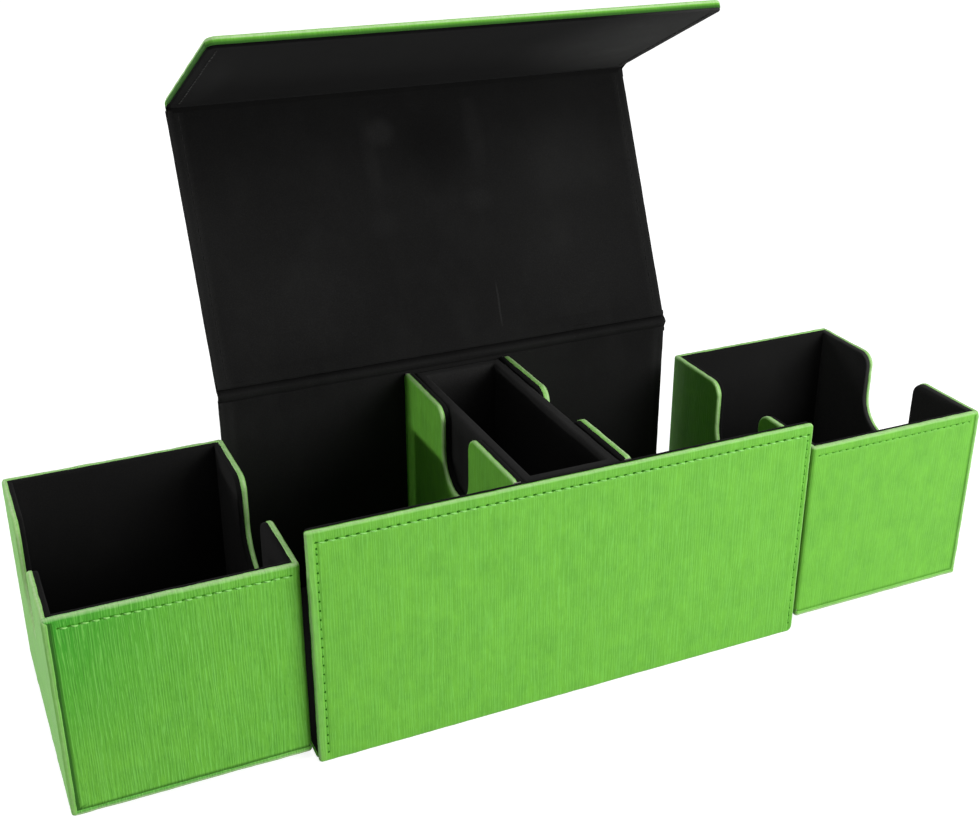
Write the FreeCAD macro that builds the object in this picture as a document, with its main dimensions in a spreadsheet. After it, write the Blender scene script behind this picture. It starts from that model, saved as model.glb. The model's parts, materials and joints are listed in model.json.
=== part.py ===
import FreeCAD, Part
import math
import os
import re
import Sketcher

# A playing card box with two drawers, built of greyboard panels wrapped in leatherette and lined
# with black velvet. The case is a front, a base and a back with an open bay at each end. A drawer
# slides into each bay, and a lift-out tray stands between the two dividers in the middle. The lid
# turns on a crease along the back, and a flap on its far edge folds down over the front, where
# magnets hold it. Here both drawers are out, the lid leans back and the flap is bent forward.
#
# Frame: X to the right, Y from front to back, Z up, in millimetres. The origin is the middle of
# the case's underside.

doc = FreeCAD.newDocument("card_box")
sheet = doc.addObject("Spreadsheet::Sheet", "Sizes")

SIZES = {
    # the case
    "case_width": 200,
    "case_depth": 114,
    "case_height": 93,
    "bay_length": 76.4,  # from the case's end to the divider
    # the layers of a panel: leatherette outside, greyboard, velvet inside
    "skin": 0.6,
    "board": 2.4,
    "lining": 1,
    "lining_setback": 1,  # how far the velvet stops short of a panel's free edge
    "base_board": 1.2,
    "base_felt": 0.3,
    "corner_radius": 2.5,
    # the lid and its flap
    "lid_lean": 24.5,  # degrees that the lid leans back from upright
    "lid_gap": 0.4,  # between the shut lid's velvet and the case's rim
    "flap_gap": 0.5,  # between the shut flap's velvet and the front
    "flap_length": 87,  # from the fold to the free edge
    "flap_corner_radius": 4,
    "crease_gap": 0.4,  # free play at a crease beyond half a panel's thickness
    "crease_strip_thickness": 0.8,
    # the drawers
    "drawer_side_gap": 1,
    "drawer_end_gap": 0.4,
    "drawer_lift": 0.2,  # running gap over the bay's floor
    "drawer_headroom": 14,  # from the drawers' rim up to the case's rim
    "drawer_grip": 7,  # how far a shut drawer stands out of the case
    "drawer_rim": 0.6,  # how far the drawer's end and base stand proud of its walls
    "left_drawer_out": 0.8,  # how far each drawer stands clear of the case's end
    "right_drawer_out": 5,
    "drawer_slot_width": 30,
    "drawer_slot_depth": 34,
    # the dividers' thumb slots
    "divider_slot_width": 25,
    "divider_slot_depth": 31,
    "slot_mouth_radius": 6,
    # the tray
    "tray_gap": 0.3,
    "tray_end_gap": 0.4,
    "tray_lift": 0.3,
    "tray_wall": 4.4,
    "tray_floor": 2,
    "tray_headroom": 1,
    # the magnets
    "magnet_diameter": 12,
    "magnet_spread": 60,  # of the flap's two magnets, each side of the middle
    "flap_magnet_margin": 14,  # from the flap's free edge
    "drawer_magnet_height": 25,
}

# Lengths that follow from the sizes above.
DERIVED = {
    "half_width": "case_width / 2",
    "half_depth": "case_depth / 2",
    "panel": "skin + board",
    "wall": "panel + lining",
    "base_panel": "skin + base_board",
    "bay_floor": "base_panel + base_felt",
    "inner_half_depth": "half_depth - wall",
    "panel_inner_face": "half_depth - panel",
    "hinge_y": "half_depth - wall / 2",
    "hinge_z": "case_height + lid_gap + wall / 2",
    "crease": "wall / 2 + crease_gap",
    "lid_span": "hinge_y + half_depth + flap_gap + wall / 2",
    "fold_y": "hinge_y + lid_span * sin(lid_lean * 1 deg)",
    "fold_z": "hinge_z + lid_span * cos(lid_lean * 1 deg)",
    "lid_turn": "0 - lid_lean",
    "flap_turn": "90 - lid_lean",
    "flap_magnet_reach": "flap_length - flap_magnet_margin",
    "front_magnet_z": "hinge_z - flap_magnet_reach",
    "divider_face": "half_width - bay_length",
    "drawer_half_depth": "inner_half_depth - drawer_side_gap",
    "drawer_width": "bay_length - drawer_end_gap + drawer_grip",
    "drawer_z": "bay_floor + drawer_lift",
    "drawer_height": "case_height - drawer_headroom - drawer_z",
    "drawer_wall_face": "drawer_half_depth - drawer_rim",
    "drawer_walls_height": "drawer_height - panel",
    "tray_half_width": "divider_face - wall - tray_gap",
    "tray_half_depth": "inner_half_depth - tray_end_gap",
    "tray_z": "bay_floor + tray_lift",
    "tray_walls_height": "case_height - tray_headroom - tray_z - tray_floor",
}

PLANES = {  # origin plane of each panel direction, and its two in-plane axes
    "upright": ("XZ_Plane", 0, 2),
    "sideways": ("YZ_Plane", 1, 2),
    "flat": ("XY_Plane", 0, 1),
}

nodes = []


def fill_sheet():
    for row, (name, value) in enumerate(SIZES.items(), 1):
        sheet.set(f"A{row}", name)
        sheet.set(f"B{row}", str(value))
        sheet.setAlias(f"B{row}", name)
    doc.recompute()


def formula(text):
    """Spell out a formula so that it names the sheet's own cells only."""

    def spell(match):
        word = match.group()
        if word in DERIVED:
            return "(" + formula(DERIVED[word]) + ")"
        return "Sizes." + word if word in SIZES else word

    return re.sub(r"[a-z_][a-z0-9_]*", spell, text)


def bind(thing, path, text):
    thing.setExpression(path, formula(text))


def place(thing, at, turn=None):
    """Bind a thing's position, and a turn in degrees about an axis, to the sheet."""
    if turn:
        axis, angle = turn
        spot = FreeCAD.Vector(0, 0, 0)
        thing.Placement = FreeCAD.Placement(spot, FreeCAD.Rotation(FreeCAD.Vector(*axis), 1))
        bind(thing, "Placement.Rotation.Angle", angle)
    for letter, text in zip("xyz", at):
        bind(thing, "Placement.Base." + letter, text)


def sketch_on(body, name, plane):
    sketch = body.newObject("Sketcher::SketchObject", name)
    role = PLANES[plane][0]
    origin_plane = [o for o in body.Origin.OriginFeatures if o.Role == role][0]
    sketch.AttachmentSupport = [(origin_plane, "")]
    sketch.MapMode = "FlatFace"
    return sketch


def dimension(sketch, name, constraint, text):
    index = sketch.addConstraint(constraint)
    sketch.renameConstraint(index, name)
    bind(sketch, "Constraints." + name, text)


def draw_rectangle(sketch, wide, high):
    """A rectangle that stands on the origin, centred across it."""
    corners = [FreeCAD.Vector(x, y, 0) for x, y in ((-5, 0), (5, 0), (5, 8), (-5, 8))]
    for k in range(4):
        sketch.addGeometry(Part.LineSegment(corners[k], corners[(k + 1) % 4]), False)
    for k in range(4):
        sketch.addConstraint(Sketcher.Constraint("Coincident", k, 2, (k + 1) % 4, 1))
    for k, direction in enumerate(("Horizontal", "Vertical", "Horizontal", "Vertical")):
        sketch.addConstraint(Sketcher.Constraint(direction, k))
    sketch.addConstraint(Sketcher.Constraint("Symmetric", 0, 1, 0, 2, -1, 1))
    dimension(sketch, "wide", Sketcher.Constraint("DistanceX", 0, 1, 0, 2, 10), wide)
    dimension(sketch, "high", Sketcher.Constraint("DistanceY", 1, 1, 1, 2, 8), high)


def draw_slot(sketch, slot, high):
    """A slot with a round bottom that runs down from just above a panel's top edge."""
    wide, deep, _ = slot
    above = FreeCAD.Vector(2, 9, 0), FreeCAD.Vector(-2, 9, 0)
    below = FreeCAD.Vector(-2, 4, 0), FreeCAD.Vector(2, 4, 0)
    sketch.addGeometry(Part.LineSegment(above[0], above[1]), False)
    sketch.addGeometry(Part.LineSegment(above[1], below[0]), False)
    bottom = Part.Circle(FreeCAD.Vector(0, 4, 0), FreeCAD.Vector(0, 0, 1), 2)
    sketch.addGeometry(Part.ArcOfCircle(bottom, math.pi, 2 * math.pi), False)
    sketch.addGeometry(Part.LineSegment(below[1], above[0]), False)
    sketch.addConstraint(Sketcher.Constraint("Coincident", 0, 2, 1, 1))
    sketch.addConstraint(Sketcher.Constraint("Tangent", 1, 2, 2, 1))
    sketch.addConstraint(Sketcher.Constraint("Tangent", 2, 2, 3, 1))
    sketch.addConstraint(Sketcher.Constraint("Coincident", 3, 2, 0, 1))
    sketch.addConstraint(Sketcher.Constraint("Horizontal", 0))
    sketch.addConstraint(Sketcher.Constraint("Vertical", 1))
    sketch.addConstraint(Sketcher.Constraint("Vertical", 3))
    sketch.addConstraint(Sketcher.Constraint("PointOnObject", 2, 3, -2))
    dimension(sketch, "radius", Sketcher.Constraint("Radius", 2, 2), f"({wide}) / 2")
    centre = Sketcher.Constraint("DistanceY", -1, 1, 2, 3, 4)
    dimension(sketch, "centre", centre, f"({high}) - ({deep}) + ({wide}) / 2")
    top = Sketcher.Constraint("DistanceY", -1, 1, 0, 1, 9)
    dimension(sketch, "top", top, f"({high}) + 1")


def draw_holes(sketch, spread, height):
    """One magnet hole on the middle line, or two, spread each side of it."""
    xs = (-3, 3) if spread else (0,)
    for x in xs:
        centre = FreeCAD.Vector(x, 3, 0)
        sketch.addGeometry(Part.Circle(centre, FreeCAD.Vector(0, 0, 1), 1), False)
    radius = Sketcher.Constraint("Radius", 0, 1)
    dimension(sketch, "radius", radius, "magnet_diameter / 2")
    dimension(sketch, "height", Sketcher.Constraint("DistanceY", -1, 1, 0, 3, 3), height)
    if spread:
        sketch.addConstraint(Sketcher.Constraint("Equal", 0, 1))
        sketch.addConstraint(Sketcher.Constraint("Symmetric", 0, 3, 1, 3, -2))
        gap = Sketcher.Constraint("DistanceX", 0, 3, 1, 3, 6)
        dimension(sketch, "spread", gap, f"2 * ({spread})")
    else:
        sketch.addConstraint(Sketcher.Constraint("PointOnObject", 0, 3, -2))


def cut_through(body, sketch, name):
    """Pocket a sketch through the whole panel, and make sure that it cuts."""
    before = body.Tip.Shape.Volume
    pocket = body.newObject("PartDesign::Pocket", name)
    pocket.Profile = sketch
    pocket.Type = "ThroughAll"
    pocket.SideType = "Symmetric"
    doc.recompute()
    if pocket.Shape.Volume > before - 1:
        raise RuntimeError(name + " cuts nothing")


def value(text):
    """A formula's value with the sheet's present sizes."""
    return float(sheet.evalExpression(formula(text)))


def round_edges(body, name, plane, spots, radius):
    """Fillet the edges that cross the panel at the given in-plane spots."""
    first, second = PLANES[plane][1:]
    wanted = [(value(across), value(up)) for across, up in spots]
    found = []
    for index, edge in enumerate(body.Tip.Shape.Edges, 1):
        ends = [(v.Point[first], v.Point[second]) for v in edge.Vertexes]
        for spot in wanted:
            if len(ends) == 2 and all(abs(a - s) < 0.01 for end in ends for a, s in zip(end, spot)):
                found.append(f"Edge{index}")
    if len(found) != len(spots):
        raise RuntimeError(f"{name} finds {len(found)} of {len(spots)} edges")
    fillet = body.newObject("PartDesign::Fillet", name)
    fillet.Base = (body.Tip if body.Tip != fillet else fillet.BaseFeature, found)
    bind(fillet, "Radius", radius)
    doc.recompute()


def panel(label, plane, wide, high, thick, at, turn=None, slot=None, corners=None, holes=None):
    """A flat panel. Its own origin is the middle of its bottom edge, halfway through it.

    slot is (width, depth, mouth radius). corners is (radius, "top", "bottom" or "all").
    holes is (spread or None, height).
    """
    body = doc.addObject("PartDesign::Body", label)
    outline = sketch_on(body, label + "_outline", plane)
    draw_rectangle(outline, wide, high)
    pad = body.newObject("PartDesign::Pad", label + "_pad")
    pad.Profile = outline
    pad.SideType = "Symmetric"
    bind(pad, "Length", thick)
    doc.recompute()
    if corners:
        radius, which = corners
        levels = {"top": [high], "bottom": ["0"], "all": ["0", high]}[which]
        spots = [(f"{sign}({wide}) / 2", level) for sign in ("0 - ", "0 + ") for level in levels]
        round_edges(body, label + "_corners", plane, spots, radius)
    if slot:
        notch = sketch_on(body, label + "_slot_outline", plane)
        draw_slot(notch, slot, high)
        cut_through(body, notch, label + "_slot")
        spots = [(f"{sign}({slot[0]}) / 2", high) for sign in ("0 - ", "0 + ")]
        round_edges(body, label + "_slot_mouth", plane, spots, slot[2])
    if holes:
        circles = sketch_on(body, label + "_hole_outline", plane)
        draw_holes(circles, *holes)
        cut_through(body, circles, label + "_holes")
    place(body, at, turn)
    return body


def node(thing, label=None):
    """Count a thing as one of the box's pieces."""
    thing.Label = label or thing.Label
    nodes.append(thing)
    return thing


def join(name, things):
    if len(things) == 1:
        return things[0]
    whole = doc.addObject("Part::MultiFuse", name)
    whole.Shapes = things
    return whole


def cover(label, blanks, cores):
    """The leatherette round some boards: the wrapped panels' outer forms, less what they hold."""
    skin = doc.addObject("Part::Cut", label)
    skin.Base = join(label + "_form", blanks)
    skin.Tool = join(label + "_core", cores)
    return node(skin)


def disc(label, at, turn):
    """A magnet, as thick as the board whose hole it fills."""
    magnet = doc.addObject("Part::Cylinder", label)
    bind(magnet, "Radius", "magnet_diameter / 2")
    bind(magnet, "Height", "board")
    place(magnet, at, turn)
    return magnet


def disc_pair(label, y, z, tilt):
    """Two loose magnets that share one node, one each side of the middle."""
    discs = []
    for name, side in (("left", "0 - "), ("right", "0 + ")):
        at = (f"{side}magnet_spread", y, z)
        discs.append(disc(f"{label}_{name}", at, ((1, 0, 0), tilt)))
    pair = doc.addObject("Part::Compound", label)
    pair.Links = discs
    return node(pair)


def inset(slot, amount):
    """A slot's outline moved into the panel by an amount."""
    wide, deep, mouth = slot
    return f"{wide} + 2 * {amount}", deep, f"{mouth} - {amount}"


def make_base():
    y = "0 - panel_inner_face"
    depth = "2 * panel_inner_face"
    core_wide = "case_width - 2 * skin"
    blank = panel("base_blank", "flat", "case_width", depth, "base_panel", ("0", y, "base_panel / 2"))
    core_z = "skin + base_board / 2"
    core = node(panel("base_board", "flat", core_wide, depth, "base_board", ("0", y, core_z)))
    cover("base_cover", [blank], [core])
    felt_wide = "case_width - 2 * lining_setback"
    felt_z = "base_panel + base_felt / 2"
    node(panel("base_lining", "flat", felt_wide, depth, "base_felt", ("0", y, felt_z)))


def make_case_wall(name, side, holes, magnets):
    """The front or the back: alike, but that the front holds two magnets."""
    blank_y = f"{side}(half_depth - panel / 2)"
    core_y = f"{side}(half_depth - skin - board / 2)"
    lining_y = f"{side}(inner_half_depth + lining / 2)"
    blank = panel(
        name + "_blank", "upright", "case_width", "case_height", "panel", ("0", blank_y, "0"),
        corners=("corner_radius", "all"),
    )
    core = node(panel(
        name + "_board", "upright", "case_width - 2 * skin", "case_height - 2 * skin", "board",
        ("0", core_y, "skin"), corners=("corner_radius - skin", "all"), holes=holes,
    ))
    cover(name + "_cover", [blank], [core] + magnets)
    node(panel(
        name + "_lining", "upright", "case_width - 2 * lining_setback",
        "case_height - lining_setback - bay_floor", "lining", ("0", lining_y, "bay_floor"),
        corners=("corner_radius - lining_setback", "top"),
    ))


def make_front_and_back():
    magnets = disc_pair("front_magnets", "skin - half_depth", "front_magnet_z", "0 - 90")
    holes = ("magnet_spread", "front_magnet_z - skin")
    make_case_wall("front", "0 - ", holes, [magnets])
    make_case_wall("back", "0 + ", None, [])


def make_divider(name, side):
    """A wall with a thumb slot between a drawer's bay and the tray."""
    slot = ("divider_slot_width", "divider_slot_depth", "slot_mouth_radius")
    wide = "2 * inner_half_depth"
    high = "case_height - bay_floor"
    magnet_z = "drawer_z + drawer_magnet_height"
    blank = panel(
        name + "_blank", "sideways", wide, high, "panel",
        (f"{side}(divider_face - panel / 2)", "0", "bay_floor"), slot=slot,
    )
    core_x = f"{side}(divider_face - skin - board / 2)"
    core = node(panel(
        name + "_board", "sideways", wide + " - 2 * skin", high + " - 2 * skin", "board",
        (core_x, "0", "bay_floor + skin"), slot=inset(slot, "skin"),
        holes=(None, f"{magnet_z} - bay_floor - skin"),
    ))
    start = (core_x + " - board / 2", "0", magnet_z)
    magnet = node(disc(name + "_magnet", start, ((0, 1, 0), "90")))
    cover(name + "_cover", [blank], [core, magnet])
    node(panel(
        name + "_lining", "sideways", wide, high + " - lining_setback", "lining",
        (f"{side}(divider_face - panel - lining / 2)", "0", "bay_floor"),
        slot=inset(slot, "lining_setback"),
    ))


def tilted(pivot_y, pivot_z, angle, across, along):
    """Where a leaning panel's own origin goes: across its thickness, and along it from the pivot."""
    cosine = f"cos({angle} * 1 deg)"
    sine = f"sin({angle} * 1 deg)"
    y = f"{pivot_y} + ({across}) * {cosine} - ({along}) * {sine}"
    z = f"{pivot_z} + ({across}) * {sine} + ({along}) * {cosine}"
    return "0", y, z


def make_leaf(name, pivot, length, corners, holes, magnets):
    """The lid or the flap: a wrapped and lined panel that starts one crease from its pivot.

    pivot is (y, z, angle), and the angle is the leaf's turn from upright.
    """
    turn = ((1, 0, 0), pivot[2])

    def corner(amount):
        return (f"{corners} - {amount}", "top") if corners else None

    def spot(across, along):
        return tilted(*pivot, across, along)

    blank = panel(
        name + "_blank", "upright", "case_width", length, "panel",
        spot("wall / 2 - panel / 2", "crease"), turn, corners=corner("0"),
    )
    core = node(panel(
        name + "_board", "upright", "case_width - 2 * skin", length + " - 2 * skin", "board",
        spot("wall / 2 - skin - board / 2", "crease + skin"), turn, corners=corner("skin"),
        holes=holes,
    ))
    cover(name + "_cover", [blank], [core] + magnets)
    node(panel(
        name + "_lining", "upright", "case_width - 2 * lining_setback",
        length + " - lining_setback", "lining", spot("0 - wall / 2 + lining / 2", "crease"), turn,
        corners=corner("lining_setback"),
    ))


def make_strip(name, pivot):
    """The bare leatherette in a crease: it stops short of the boards by the crease's gap."""
    at = tilted(*pivot, "0", "0 - wall / 2")
    node(panel(
        name, "upright", "case_width", "wall", "crease_strip_thickness",
        at, ((1, 0, 0), pivot[2]),
    ))


def make_lid_and_flap():
    lid = ("hinge_y", "hinge_z", "lid_turn")
    flap = ("fold_y", "fold_z", "flap_turn")
    make_strip("lid_hinge_strip", ("hinge_y", "hinge_z", "lid_turn / 2"))
    make_leaf("lid", lid, "lid_span - 2 * crease", None, None, [])
    make_strip("flap_hinge_strip", ("fold_y", "fold_z", "(lid_turn + flap_turn) / 2"))
    _, y, z = tilted(*flap, "wall / 2 - skin - board", "flap_magnet_reach")
    magnets = disc_pair("flap_magnets", y, z, "flap_turn - 90")
    holes = ("magnet_spread", "flap_magnet_reach - crease - skin")
    make_leaf("flap", flap, "flap_length - crease", "flap_corner_radius", holes, [magnets])


def make_tray():
    high = "tray_walls_height"
    wall_z = "tray_z + tray_floor"
    depth = "2 * tray_half_depth"
    node(panel(
        "tray_floor", "flat", "2 * tray_half_width", depth, "tray_floor",
        ("0", "0 - tray_half_depth", "tray_z + tray_floor / 2"),
    ))
    for name, side in (("front", "0 - "), ("back", "0 + ")):
        y = f"{side}(tray_half_depth - tray_wall / 2)"
        node(panel(
            f"tray_{name}_wall", "upright", "2 * tray_half_width", high, "tray_wall",
            ("0", y, wall_z),
        ))
    for name, side in (("left", "0 - "), ("right", "0 + ")):
        x = f"{side}(tray_half_width - tray_wall / 2)"
        node(panel(
            f"tray_{name}_wall", "sideways", depth + " - 2 * tray_wall", high, "tray_wall",
            (x, "0", wall_z),
        ))


def make_drawer(name, side, out):
    """A drawer's end and base are one wrapped angle, and its walls one wrapped open frame.

    Distances along the drawer run outwards from the base's inner end.
    """
    slot = ("drawer_slot_width", "drawer_slot_depth", "slot_mouth_radius")
    core_slot = inset(slot, "skin")
    lining_slot = inset(slot, "lining_setback")
    inner = "half_width + " + out
    rim = "drawer_half_depth"
    wall_z = "drawer_z + panel"
    wall_high = "drawer_walls_height"
    end_face = "drawer_width - panel"
    wall_long = f"({end_face} - drawer_rim)"

    def x(along):
        return f"{side}({inner} + {along})"

    end_blank = panel(
        name + "_end_blank", "sideways", f"2 * {rim}", "drawer_height", "panel",
        (x(f"{end_face} + panel / 2"), "0", "drawer_z"), slot=slot,
        corners=("corner_radius", "top"),
    )
    end_board = node(panel(
        name + "_end_board", "sideways", f"2 * {rim} - 2 * skin", "drawer_height - 2 * skin",
        "board", (x(f"{end_face} + board / 2"), "0", "drawer_z + skin"), slot=core_slot,
        corners=("corner_radius - skin", "top"),
    ))
    base_blank = panel(
        name + "_base_blank", "flat", end_face, f"2 * {rim}", "panel",
        (x(f"({end_face}) / 2"), f"0 - {rim}", "drawer_z + panel / 2"),
    )
    base_board = node(panel(
        name + "_base_board", "flat", f"{end_face} - skin", f"2 * {rim} - 2 * skin", "board",
        (x("(drawer_width - board) / 2"), f"skin - {rim}", "drawer_z + skin + board / 2"),
    ))
    cover(name + "_wrap", [end_blank, base_blank], [end_board, base_board])

    blanks = []
    cores = []
    for wall, away in (("front", "0 - "), ("back", "0 + ")):
        blanks.append(panel(
            f"{name}_{wall}_blank", "upright", wall_long, wall_high, "panel",
            (x(f"drawer_rim + {wall_long} / 2"), f"{away}(drawer_wall_face - panel / 2)", wall_z),
        ))
        cores.append(node(panel(
            f"{name}_{wall}_board", "upright", f"{wall_long} - skin", f"{wall_high} - skin",
            "board",
            (x(f"drawer_rim + skin + ({wall_long} - skin) / 2"),
             f"{away}(drawer_wall_face - skin - board / 2)", wall_z),
        )))
        node(panel(
            f"{name}_{wall}_lining", "upright", f"{end_face} - drawer_rim - panel",
            f"{wall_high} - lining - lining_setback", "lining",
            (x(f"({end_face} + drawer_rim + panel) / 2"),
             f"{away}(drawer_wall_face - panel - lining / 2)", f"{wall_z} + lining"),
        ))
    blanks.append(panel(
        name + "_inner_blank", "sideways", "2 * drawer_wall_face", wall_high, "panel",
        (x("drawer_rim + panel / 2"), "0", wall_z), slot=slot,
    ))
    cores.append(node(panel(
        name + "_inner_board", "sideways", "2 * (drawer_wall_face - panel)",
        f"{wall_high} - skin", "board", (x("drawer_rim + skin + board / 2"), "0", wall_z),
        slot=core_slot, holes=(None, "drawer_magnet_height - panel"),
    )))
    start = x("drawer_rim + skin + board / 2") + " - board / 2"
    magnet_at = (start, "0", "drawer_z + drawer_magnet_height")
    cores.append(node(disc(name + "_magnet", magnet_at, ((0, 1, 0), "90"))))
    cover(name + "_sleeve", blanks, cores)

    lined = "2 * (drawer_wall_face - wall)"
    for wall, along in (
        ("inner", "drawer_rim + panel + lining / 2"),
        ("end", f"{end_face} - lining / 2"),
    ):
        node(panel(
            f"{name}_{wall}_lining", "sideways", lined, f"{wall_high} - lining - lining_setback",
            "lining", (x(along), "0", f"{wall_z} + lining"), slot=lining_slot,
        ))
    node(panel(
        name + "_floor_lining", "flat", f"{end_face} - drawer_rim - panel",
        "2 * (drawer_wall_face - panel)", "lining",
        (x(f"({end_face} + drawer_rim + panel) / 2"), "0 - (drawer_wall_face - panel)",
         f"{wall_z} + lining / 2"),
    ))


def check_all():
    """Stop if any object failed, or if a piece has no valid solid."""
    doc.recompute()
    for thing in doc.Objects:
        if "Invalid" in thing.State or "Error" in thing.State:
            raise RuntimeError(thing.Label + " failed: " + str(thing.State))
    for thing in nodes:
        shape = thing.Shape
        if shape.isNull() or not shape.isValid() or not shape.Solids:
            raise RuntimeError(thing.Label + " has no valid solid")


def export_all():
    os.makedirs("parts", exist_ok=True)
    for thing in nodes:
        thing.Shape.exportStep(f"parts/{thing.Label}.step")
    print(len(nodes), "pieces")


fill_sheet()
make_base()
make_front_and_back()
make_divider("left_divider", "0 - ")
make_divider("right_divider", "0 + ")
make_lid_and_flap()
make_tray()
make_drawer("left_drawer", "0 - ", "left_drawer_out")
make_drawer("right_drawer", "0 + ", "right_drawer_out")
check_all()
export_all()
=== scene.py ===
"""Looks for the playing card box: a leatherette case with a folding lid, two drawers and a card tray."""
import json
import math

import bmesh
import bpy
import numpy as np
from mathutils import Matrix, Vector, noise

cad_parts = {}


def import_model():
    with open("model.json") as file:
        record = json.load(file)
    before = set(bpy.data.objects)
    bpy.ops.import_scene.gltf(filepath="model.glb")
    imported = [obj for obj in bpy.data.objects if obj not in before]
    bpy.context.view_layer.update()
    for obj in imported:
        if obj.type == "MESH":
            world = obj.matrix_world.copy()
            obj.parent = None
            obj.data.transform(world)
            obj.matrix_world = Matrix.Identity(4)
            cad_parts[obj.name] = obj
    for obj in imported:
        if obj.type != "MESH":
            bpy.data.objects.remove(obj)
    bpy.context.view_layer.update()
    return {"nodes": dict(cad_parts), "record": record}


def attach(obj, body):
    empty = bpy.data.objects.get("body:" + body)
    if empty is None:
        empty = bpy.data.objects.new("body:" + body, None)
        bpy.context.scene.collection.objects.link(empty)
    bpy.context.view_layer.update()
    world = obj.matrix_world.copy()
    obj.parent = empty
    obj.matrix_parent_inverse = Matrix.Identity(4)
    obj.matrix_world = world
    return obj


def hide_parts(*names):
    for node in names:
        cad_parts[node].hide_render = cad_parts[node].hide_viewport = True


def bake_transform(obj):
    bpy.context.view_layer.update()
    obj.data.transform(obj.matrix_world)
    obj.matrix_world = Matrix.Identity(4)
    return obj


noise.seed_set(1)  # noise_vector would start from the clock otherwise, and differ from run to run

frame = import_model()
MM = 0.001  # everything below is in millimetres until it becomes a mesh

# ---------------- sizes, as in the CAD, in mm
HALF_LENGTH, CASE_HEIGHT = 100.0, 93.0
ENDS = (-HALF_LENGTH, HALF_LENGTH)
PANEL_AT = 54.0  # y of the back panel's inner face, and of the front one's with a minus
WALL = 3.0  # a covered board
LINING = 1.0
CORNER = 2.5
BASE_TOP, FELT_TOP = 1.8, 2.1
HINGE = (55.0, 95.4)  # y, z of the lid's crease
FOLD = (102.482, 199.591)  # y, z of the flap's crease
LID_LEAN, FLAP_LEAN = 24.5, -65.5  # degrees from upright, backwards
CREASE = 2.4  # from a crease's axis to the board beside it
LID_END, FLAP_END = 112.1, 87.0  # from a crease's axis to its board's far edge
DIVIDER_LINED, DIVIDER_OUT, DIVIDER_HALF = 19.6, 23.6, 53.0  # x of a divider's two faces, and half its length
TRAY_HALF, TRAY_HALF_LENGTH, TRAY_BOTTOM, TRAY_FLOOR, TRAY_TOP, TRAY_WALL = 19.3, 52.6, 2.4, 4.4, 92, 4.4
DRAWER_BOTTOM, DRAWER_TOP, DRAWER_BASE_TOP = 2.3, 79.0, 5.3
DRAWER_HALF, SLEEVE_HALF = 52.0, 51.75
END_OUTSIDE = 83.0  # from a drawer's inner end to its outer one
LEFT_DRAWER_AT, RIGHT_DRAWER_AT = -100.8, 105.0  # x of each drawer's inner end
DRAWER_NOTCH, DIVIDER_NOTCH = (30, 34), (25, 31)  # the width and depth of a thumb notch

# ---------------- sizes of the skins, in mm
SHELL = 2.0  # the part of a covered board that shows green: the lining laps over the rest
LAP = 0.3  # from one to the other, so that no board shows between them
OVERLAP = 0.35  # how far the velvet of the back panel and lid turns out past their sides
STITCH, DRAWER_STITCH = 3.62, 3.2  # from one needle hole to the next
SIDE_SEAMS, FLAP_SEAMS = (-96.4, 96.4), (-96.2, 96.2)  # u of the seams along the sides
FINE, MEDIUM, COARSE = 0.9, 1.6, 3  # from point to point along a panel's edge


# ---------------- outlines
def notch(width, depth, mouth=6.0, centre=0.0):
    """A thumb notch with a round bottom. mouth is the radius of its two upper corners."""
    return {"half": width / 2, "depth": depth, "mouth": mouth, "centre": centre}


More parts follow.
